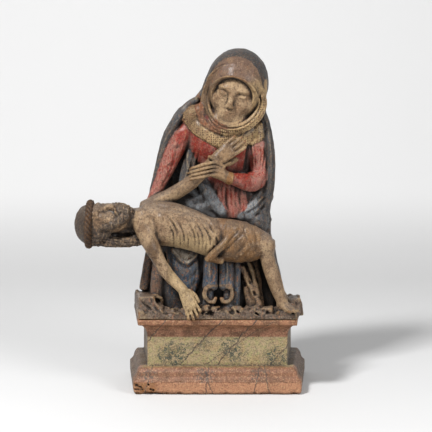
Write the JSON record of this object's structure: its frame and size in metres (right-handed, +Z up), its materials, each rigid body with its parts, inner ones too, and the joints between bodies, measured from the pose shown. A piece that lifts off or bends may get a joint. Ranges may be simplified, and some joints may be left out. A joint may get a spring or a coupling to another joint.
{
  "type": "pieta statue",
  "caption": "Carved and painted wooden group of a seated hooded woman holding a reclining figure across her lap, on a moulded marbled plinth; stands by its own weight.",
  "frame": {"origin": "centre of the plinth's underside", "axes": "+Z up; -Y is the front, towards the viewer; +X is the viewer's right"},
  "size_m": [0.3313, 0.1412, 0.4834],
  "materials": {
    "plinth_paint": "worn marbled paint over wood, matt, chipped along the lower edge",
    "group_paint": "worn old polychromy over carved wood, flesh tones, muted red and blue-grey cloth, dirt in the recesses"
  },
  "bodies": {
    "root": {"plinth": "plinth_paint", "pieta_group": "group_paint"}
  },
  "joints": []
}
